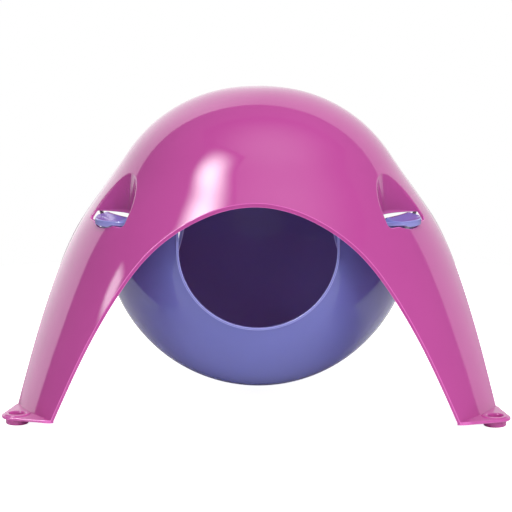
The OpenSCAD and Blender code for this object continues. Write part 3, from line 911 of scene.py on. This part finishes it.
# ---------------------------------------------------------------- materials
def plastic(name, base, dark, light, glow, roughness, ior=1.5, specular=0.5):
    """Glossy moulded plastic: a faint unevenness of the mould in the surface, flow clouding in the colour, fine dust
    and scratches in the gloss, and the glow colour painted onto rounded edges as a highlight.
    """
    mat = bpy.data.materials.new(name)
    mat.use_nodes = True
    nt = mat.node_tree
    nt.nodes.clear()
    new, link = nt.nodes.new, nt.links.new
    out = new("ShaderNodeOutputMaterial")
    bsdf = new("ShaderNodeBsdfPrincipled")
    link(bsdf.outputs["BSDF"], out.inputs["Surface"])
    bsdf.inputs["IOR"].default_value = ior
    bsdf.inputs["Specular IOR Level"].default_value = specular
    bsdf.inputs["Subsurface Weight"].default_value = 0.0
    coords = new("ShaderNodeTexCoord")
    # flow clouding
    cloud = new("ShaderNodeTexNoise")
    cloud.inputs["Scale"].default_value = 14.0
    cloud.inputs["Detail"].default_value = 3.0
    link(coords.outputs["Object"], cloud.inputs["Vector"])
    ramp = new("ShaderNodeValToRGB")
    ramp.color_ramp.elements[0].position, ramp.color_ramp.elements[1].position = 0.3, 0.7
    ramp.color_ramp.elements[0].color = (*dark, 1)
    ramp.color_ramp.elements[1].color = (*light, 1)
    mid = ramp.color_ramp.elements.new(0.5)
    mid.color = (*base, 1)
    link(cloud.outputs["Fac"], ramp.inputs["Fac"])
    # painted highlight: rounded edges get the glow colour mixed into the base colour, standing in for the light lines
    # along them
    edge, painted_edge_highlight = new("ShaderNodeAttribute"), new("ShaderNodeMix")
    edge.attribute_name = "edge"
    painted_edge_highlight.data_type = "RGBA"
    painted_edge_highlight.inputs[7].default_value = (*glow, 1)
    link(edge.outputs["Fac"], painted_edge_highlight.inputs[0])
    link(ramp.outputs["Color"], painted_edge_highlight.inputs[6])
    link(painted_edge_highlight.outputs[2], bsdf.inputs["Base Color"])
    # gloss: fine scratches and a little dust
    stretch = new("ShaderNodeMapping")
    stretch.inputs["Scale"].default_value = (1.0, 1.0, 0.12)
    stretch.inputs["Rotation"].default_value = (0.6, 0.35, 0.2)
    link(coords.outputs["Object"], stretch.inputs["Vector"])
    scratch = new("ShaderNodeTexNoise")
    scratch.inputs["Scale"].default_value = 900.0
    scratch.inputs["Detail"].default_value = 2.0
    link(stretch.outputs["Vector"], scratch.inputs["Vector"])
    dust = new("ShaderNodeTexNoise")
    dust.inputs["Scale"].default_value = 60.0
    dust.inputs["Detail"].default_value = 4.0
    link(coords.outputs["Object"], dust.inputs["Vector"])
    mix = new("ShaderNodeMath")
    mix.operation = "MULTIPLY"
    link(scratch.outputs["Fac"], mix.inputs[0])
    link(dust.outputs["Fac"], mix.inputs[1])
    gloss = new("ShaderNodeMapRange")
    gloss.inputs["From Min"].default_value, gloss.inputs["From Max"].default_value = 0.12, 0.42
    gloss.inputs["To Min"].default_value, gloss.inputs["To Max"].default_value = roughness * 0.82, roughness * 1.22
    link(mix.outputs["Value"], gloss.inputs["Value"])
    link(gloss.outputs["Result"], bsdf.inputs["Roughness"])
    # surface: slow waviness of the mould, and a very fine polish grain
    wave = new("ShaderNodeTexNoise")
    wave.inputs["Scale"].default_value = 30.0
    wave.inputs["Detail"].default_value = 1.0
    link(coords.outputs["Object"], wave.inputs["Vector"])
    bump = new("ShaderNodeBump")
    bump.inputs["Strength"].default_value = 0.35
    bump.inputs["Distance"].default_value = 0.00035
    link(wave.outputs["Fac"], bump.inputs["Height"])
    grain = new("ShaderNodeTexNoise")
    grain.inputs["Scale"].default_value = 700.0
    grain.inputs["Detail"].default_value = 2.0
    link(coords.outputs["Object"], grain.inputs["Vector"])
    bump2 = new("ShaderNodeBump")
    bump2.inputs["Strength"].default_value = 0.12
    bump2.inputs["Distance"].default_value = 0.00003
    link(grain.outputs["Fac"], bump2.inputs["Height"])
    link(bump.outputs["Normal"], bump2.inputs["Normal"])
    link(bump2.outputs["Normal"], bsdf.inputs["Normal"])
    return mat


def srgb(r, g, b):
    def f(c):
        c /= 255
        return c / 12.92 if c <= 0.04045 else ((c + 0.055) / 1.055) ** 2.4
    return f(r), f(g), f(b)


# the fourth colour of each is the painted highlight colour of its rounded edges
pink = plastic("hood_plastic", (0.495, 0.074, 0.318), (0.482, 0.070, 0.309), (0.508, 0.078, 0.327), (0.76, 0.16, 0.54), 0.06)
violet = plastic("bowl_plastic", (0.168, 0.180, 0.535), (0.161, 0.173, 0.518), (0.175, 0.187, 0.552), (0.34, 0.34, 0.76), 0.05)

foot = foot_shell()
hood = make_object("hood_moulding", [hood_shell()] + [turn_shell(foot, a) for a in LEGS])
tongue = tongue_shell()
bowl = make_object("bowl_moulding", [bowl_shell()] + [turn_shell(tongue, a) for a in LEGS], BOWL_TURN)
for obj, mat, node in ((hood, pink, "hood"), (bowl, violet, "bowl")):
    obj.data.materials.append(mat)
    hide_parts(node)
    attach(obj, node)


# ---------------------------------------------------------------- studio
def white(name, colour, glow=0.0):
    mat = bpy.data.materials.new(name)
    mat.use_nodes = True
    bsdf = mat.node_tree.nodes["Principled BSDF"]
    bsdf.inputs["Base Color"].default_value = (*colour, 1)
    bsdf.inputs["Roughness"].default_value = 0.9
    bsdf.inputs["Specular IOR Level"].default_value = 0.1
    bsdf.inputs["Emission Color"].default_value = (1, 1, 1, 1)
    bsdf.inputs["Emission Strength"].default_value = glow
    return mat


def sheet(name, corners, mat):
    mesh = bpy.data.meshes.new(name)
    mesh.from_pydata(corners, [], [tuple(range(len(corners)))])
    obj = bpy.data.objects.new(name, mesh)
    bpy.context.scene.collection.objects.link(obj)
    mesh.materials.append(mat)
    return obj


def unseen(obj, camera=True, diffuse=False, glossy=False):
    """Keeps a stage piece or light out of some kinds of ray."""
    obj.visible_camera = not camera
    obj.visible_diffuse = not diffuse
    obj.visible_glossy = not glossy
    if obj.type == "MESH" and obj.name != "floor":
        obj.visible_shadow = False
    return obj


floor = sheet("floor", [(0.55 * math.cos(a), 0.55 * math.sin(a), 0) for a in np.linspace(0, 2 * math.pi, 97)[:-1]], white("floor_white", (0.9, 0.9, 0.9), 0.3))
fn = floor.data.materials[0].node_tree
sees, glow = fn.nodes.new("ShaderNodeLightPath"), fn.nodes.new("ShaderNodeMapRange")
glow.inputs["To Min"].default_value, glow.inputs["To Max"].default_value = 0.0, 0.92
fn.links.new(sees.outputs["Is Camera Ray"], glow.inputs["Value"])
fn.links.new(glow.outputs["Result"], fn.nodes["Principled BSDF"].inputs["Emission Strength"])
# a wide white wall behind the object, which its gloss picks up
wall_y, wall_r = 2.6, 2.6 * math.tan(math.radians(61))
wall = sheet("backdrop", [(wall_r * math.cos(a), wall_y, -0.10 + wall_r * 0.77 * math.sin(a)) for a in np.linspace(0, math.pi, 97)],
             white("backdrop_white", (0.0, 0.0, 0.0), 1.05))
wt = wall.data.materials[0].node_tree
spot, across, fall = (wt.nodes.new(k) for k in ("ShaderNodeTexCoord", "ShaderNodeSeparateXYZ", "ShaderNodeMapRange"))
fall.inputs["From Min"].default_value, fall.inputs["From Max"].default_value = -1.3, 0.1
fall.inputs["To Min"].default_value, fall.inputs["To Max"].default_value = 1.55, 1.02
wt.links.new(spot.outputs["Object"], across.inputs["Vector"])
wt.links.new(across.outputs["X"], fall.inputs["Value"])
wt.links.new(fall.outputs["Result"], wt.nodes["Principled BSDF"].inputs["Emission Strength"])
unseen(wall, diffuse=True)


def area(name, place, target, size, watts, size_y=None, colour=(1, 1, 1)):
    data = bpy.data.lights.new(name, "AREA")
    data.shape = "RECTANGLE" if size_y else "SQUARE"
    data.size = size
    if size_y:
        data.size_y = size_y
    data.energy = watts
    data.color = colour
    obj = bpy.data.objects.new(name, data)
    obj.location = place
    obj.rotation_euler = (Vector(target) - Vector(place)).to_track_quat("-Z", "Y").to_euler()
    bpy.context.scene.collection.objects.link(obj)
    return obj


def softbox(name, middle, along, half_long, half_wide, strength, edge=0.5):
    """A strip of light that fades towards its rim, seen only in reflections."""
    middle, along = Vector(middle), Vector(along).normalized()
    facing = (Vector((0, 0, 0.13)) - middle).normalized()
    along = (along - along.dot(facing) * facing).normalized()
    side = facing.cross(along)
    mesh = bpy.data.meshes.new(name)
    corners = [middle + along * half_long * a + side * half_wide * b for a, b in ((-1, -1), (1, -1), (1, 1), (-1, 1))]
    mesh.from_pydata([tuple(c) for c in corners], [], [(0, 1, 2, 3)])
    layer = mesh.uv_layers.new(name="UVMap")
    for loop, uv in zip(layer.data, ((0, 0), (1, 0), (1, 1), (0, 1))):
        loop.uv = uv
    obj = bpy.data.objects.new(name, mesh)
    bpy.context.scene.collection.objects.link(obj)
    mat = bpy.data.materials.new(name)
    mat.use_nodes = True
    nt = mat.node_tree
    nt.nodes.clear()
    out, glow = nt.nodes.new("ShaderNodeOutputMaterial"), nt.nodes.new("ShaderNodeEmission")
    uv, split = nt.nodes.new("ShaderNodeTexCoord"), nt.nodes.new("ShaderNodeSeparateXYZ")
    nt.links.new(uv.outputs["UV"], split.inputs["Vector"])
    parts = []
    for axis, fade in (("X", edge), ("Y", edge)):
        away = nt.nodes.new("ShaderNodeMath")
        away.operation = "SUBTRACT"
        nt.links.new(split.outputs[axis], away.inputs[0])
        away.inputs[1].default_value = 0.5
        size = nt.nodes.new("ShaderNodeMath")
        size.operation = "ABSOLUTE"
        nt.links.new(away.outputs[0], size.inputs[0])
        ramp = nt.nodes.new("ShaderNodeMapRange")
        ramp.interpolation_type = "SMOOTHSTEP"
        ramp.inputs["From Min"].default_value = 0.5
        ramp.inputs["From Max"].default_value = 0.5 - fade * 0.5
        nt.links.new(size.outputs[0], ramp.inputs["Value"])
        parts.append(ramp)
    times = nt.nodes.new("ShaderNodeMath")
    times.operation = "MULTIPLY"
    nt.links.new(parts[0].outputs["Result"], times.inputs[0])
    nt.links.new(parts[1].outputs["Result"], times.inputs[1])
    power = nt.nodes.new("ShaderNodeMath")
    power.operation = "MULTIPLY"
    power.inputs[1].default_value = strength
    nt.links.new(times.outputs[0], power.inputs[0])
    nt.links.new(power.outputs[0], glow.inputs["Strength"])
    nt.links.new(glow.outputs[0], out.inputs["Surface"])
    mesh.materials.append(mat)
    return unseen(obj, diffuse=True)


world = bpy.data.worlds.new("studio")
bpy.context.scene.world = world
world.use_nodes = True
wn = world.node_tree
backing = wn.nodes["Background"]
backing.inputs["Color"].default_value = (1, 1, 1, 1)
path, pick = wn.nodes.new("ShaderNodeLightPath"), wn.nodes.new("ShaderNodeMapRange")
# the room: dim all round, darker towards the ground; white where the camera sees it
way, up = wn.nodes.new("ShaderNodeTexCoord"), wn.nodes.new("ShaderNodeSeparateXYZ")
wn.links.new(way.outputs["Generated"], up.inputs["Vector"])
dim = wn.nodes.new("ShaderNodeMapRange")
dim.inputs["From Min"].default_value, dim.inputs["From Max"].default_value = -0.25, 0.05
dim.inputs["To Min"].default_value, dim.inputs["To Max"].default_value = 0.10, 0.36
wn.links.new(up.outputs["Z"], dim.inputs["Value"])
# and dimmer still in the gloss
soft = wn.nodes.new("ShaderNodeMapRange")
soft.inputs["To Max"].default_value = 0.16
wn.links.new(path.outputs["Is Glossy Ray"], soft.inputs["Value"])
wn.links.new(dim.outputs["Result"], soft.inputs["To Min"])
wn.links.new(soft.outputs["Result"], pick.inputs["To Min"])
pick.inputs["To Max"].default_value = 1.0
wn.links.new(path.outputs["Is Camera Ray"], pick.inputs["Value"])
wn.links.new(pick.outputs["Result"], backing.inputs["Strength"])

unseen(area("key", (1.2, -1.5, 1.5), (0, 0, 0.1), 1.5, 29), glossy=True)
unseen(area("top", (0.1, -0.5, 2.0), (0, 0, 0.1), 1.6, 17), glossy=True)
unseen(area("fill", (-1.5, -1.3, 0.7), (0, 0, 0.1), 1.2, 7), glossy=True)
softbox("strip", (-0.83, -0.71, 1.0), (0.56, 0.55, 0.62), 0.84, 0.38, 33.0, 1.0)
softbox("small", (-1.285, -0.038, 0.586), (0.35, -0.2, 0.9), 0.15, 0.10, 7.5, 0.7)
softbox("ceiling", (0.35, -0.5, 2.0), (1, 0, 0), 1.7, 1.4, 1.5, 1.0)
# what gets through the hood's thin dome into the bowl is pink
unseen(area("through", (-0.02, 0.0, 0.168), (-0.02, 0.0, 0.1), 0.06, 0.017, colour=(1.0, 0.15, 0.05)), glossy=True)

# ---------------------------------------------------------------- camera
cam_data = bpy.data.cameras.new("camera")
cam_data.sensor_width = 36.0
cam_data.lens = 147.66
cam_data.clip_start, cam_data.clip_end = 0.05, 20.0
cam = bpy.data.objects.new("camera", cam_data)
cam.location = (0.0252, -1.3495, 0.3116)
cam.rotation_euler = (math.radians(80.738), 0.0, math.radians(1.130))
bpy.context.scene.collection.objects.link(cam)
bpy.context.scene.camera = cam
bpy.context.scene.view_settings.view_transform = "Standard"
bpy.context.scene.view_settings.look = "None"

bpy.context.view_layer.update()
